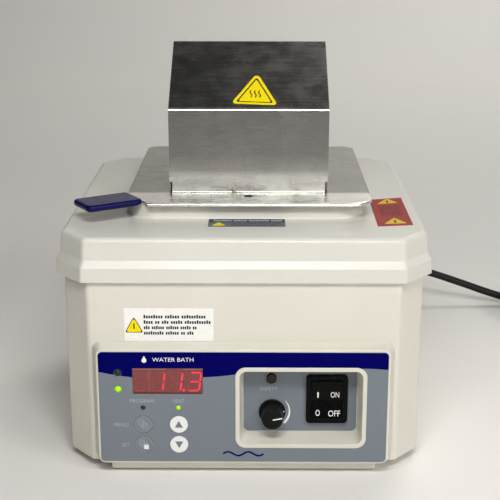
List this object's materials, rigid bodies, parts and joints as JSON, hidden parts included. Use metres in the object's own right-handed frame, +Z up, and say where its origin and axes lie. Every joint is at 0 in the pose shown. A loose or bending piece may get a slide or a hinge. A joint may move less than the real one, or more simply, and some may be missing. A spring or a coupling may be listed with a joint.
{
  "type": "laboratory water bath",
  "caption": "Bench-top laboratory water bath: moulded housing with a recessed-knob control panel, stainless tank with a perforated tray, and a loose gabled steel cover with a side grip.",
  "frame": {"origin": "middle of the footprint of the object without its mains lead, on the surface that the feet stand on", "axes": "+Z up; +Y towards the back, so the control panel faces -Y; +X to the right of a person who faces the panel"},
  "size_m": [0.491, 0.3951, 0.2909],
  "materials": {
    "housing_plastic": "fine satin, warm off-white",
    "cover_plastic": "pebbled, warm light grey",
    "bezel_plastic": "satin cream",
    "panel_film": "fine matt printed film, blue grey with a navy band",
    "red_filter": "deep red filter",
    "black_plastic": "satin black",
    "black_gloss": "semi-gloss black",
    "circuit_board": "green solder mask",
    "dark_red_lens": "unlit red lens",
    "unlit_lens": "unlit lens",
    "green_lit": "lit green lens",
    "white_print": "white ink",
    "zinc_steel": "zinc plated",
    "copper": "drawn copper",
    "brass": "bright brass",
    "stainless": "drawn stainless steel",
    "lid_steel": "fine brushed stainless steel",
    "silicone": "silicone rubber",
    "blanket": "glass fibre blanket",
    "core_iron": "lacquered laminations",
    "aluminium": "extruded",
    "wire_insulation": "PVC insulation",
    "black_rubber": "satin PVC",
    "foot_rubber": "moulded rubber",
    "blue_vinyl": "dipped vinyl, glossy navy blue",
    "label_yellow": "printed label",
    "label_white": "printed label",
    "label_blue": "printed label",
    "label_red": "printed label"
  },
  "bodies": {
    "housing": {"base_plate": "housing_plastic", "base_screws": "zinc_steel", "board_standoffs": "brass", "control_bezel": "bezel_plastic", "control_board": "circuit_board", "cord_coil": "black_rubber", "cord_tail": "black_rubber", "corner_label": "label_red", "deck_label": "label_blue", "display_board": "circuit_board", "display_module": "black_plastic", "display_window": "red_filter", "foot_back_left": "foot_rubber", "foot_back_right": "foot_rubber", "foot_front_left": "foot_rubber", "foot_front_right": "foot_rubber", "front_label": "label_white", "heat_indicator": "green_lit", "heater_mat": "silicone", "insulation": "blanket", "lower_housing": "housing_plastic", "mains_wiring": "wire_insulation", "panel_film": "panel_film", "plug_pins": "brass", "power_cord": "black_rubber", "power_plug": "black_rubber", "program_indicator": "unlit_lens", "safety_lamp": "dark_red_lens", "safety_thermostat": "black_plastic", "status_lamp_lower": "green_lit", "status_lamp_upper": "unlit_lens", "strain_relief": "black_rubber", "switch_housing": "black_gloss", "switch_terminals": "brass", "tank": "stainless", "tank_clamps": "zinc_steel", "tank_gasket": "silicone", "temperature_probe": "stainless", "terminal_block": "bezel_plastic", "thermostat_capillary": "copper", "top_cover": "cover_plastic", "transformer": "core_iron", "triac_heat_sink": "aluminium", "well_film": "panel_film"},
    "cover": {"lid_shell": "lid_steel", "lid_end_left": "lid_steel", "lid_end_right": "lid_steel", "lid_handle_tab": "lid_steel", "lid_handle_grip": "blue_vinyl", "gable_label": "label_yellow"},
    "tray": {"diffuser_tray": "stainless", "tray_lift_wires": "stainless"},
    "knob": {"safety_knob": "black_plastic", "knob_pointer": "white_print", "thermostat_shaft": "zinc_steel"},
    "rocker": {"rocker_paddle": "black_gloss"},
    "menu_button": {"menu_key": "panel_film"},
    "set_button": {"set_key": "panel_film"},
    "up_button": {"up_key": "white_print"},
    "down_button": {"down_key": "white_print"}
  },
  "joints": [
    {"name": "lid_lift", "type": "slide", "parent": "housing", "child": "cover", "axis": [0, 0, 1], "range_m": [0, 0.2]},
    {"name": "tray_lift", "type": "slide", "parent": "housing", "child": "tray", "axis": [0, 0, 1], "range_m": [0, 0.12]},
    {"name": "safety_knob_turn", "type": "hinge", "parent": "housing", "child": "knob", "pos_m": [0.0206, -0.14495, 0.0436], "axis": [0, 1, 0], "range_deg": [-225, 70]},
    {"name": "power_rocker", "type": "hinge", "parent": "housing", "child": "rocker", "pos_m": [0.0598, -0.12935, 0.0537], "axis": [1, 0, 0], "range_deg": [0, 12]},
    {"name": "menu_press", "type": "slide", "parent": "housing", "child": "menu_button", "axis": [0, 1, 0], "range_m": [0, 0.0004], "stiffness_N_per_m": 300},
    {"name": "set_press", "type": "slide", "parent": "housing", "child": "set_button", "axis": [0, 1, 0], "range_m": [0, 0.0004], "stiffness_N_per_m": 300},
    {"name": "up_press", "type": "slide", "parent": "housing", "child": "up_button", "axis": [0, 1, 0], "range_m": [0, 0.0004], "stiffness_N_per_m": 300},
    {"name": "down_press", "type": "slide", "parent": "housing", "child": "down_button", "axis": [0, 1, 0], "range_m": [0, 0.0004], "stiffness_N_per_m": 300}
  ]
}
